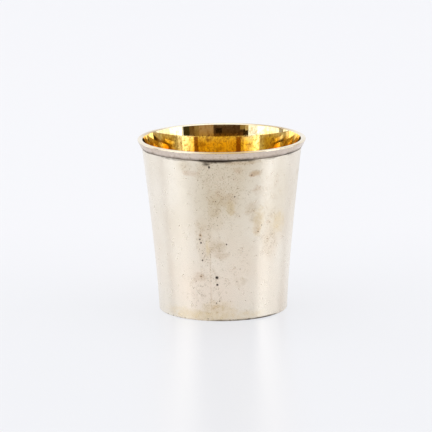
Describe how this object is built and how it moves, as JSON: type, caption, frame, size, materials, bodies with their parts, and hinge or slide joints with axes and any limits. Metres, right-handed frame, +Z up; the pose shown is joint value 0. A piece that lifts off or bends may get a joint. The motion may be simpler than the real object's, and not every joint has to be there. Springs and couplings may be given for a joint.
{
  "type": "beaker cup",
  "caption": "Small flared silver beaker with a flat let-in base, an applied moulded rim band and a gilded inside, for drinking.",
  "frame": {"origin": "middle of the flat resting face under the base, on the cup's axis", "axes": "+Z up along the cup's axis to the mouth, -Y towards the viewer of the picture"},
  "size_m": [0.068, 0.068, 0.07],
  "materials": {
    "silver": "worn polished silver with a warm patina, fine scratches and a few black pits",
    "solder": "tarnished silver solder, nearly black in the joint",
    "gilding": "polished fire gilding, warm yellow gold with light wear"
  },
  "bodies": {
    "root": {"body_wall": "silver", "side_seam": "silver", "base_disc": "silver", "base_solder": "solder", "rim_band": "silver", "rim_solder": "solder", "wall_gilding": "gilding", "floor_gilding": "gilding", "lip_gilding": "gilding"}
  },
  "joints": []
}
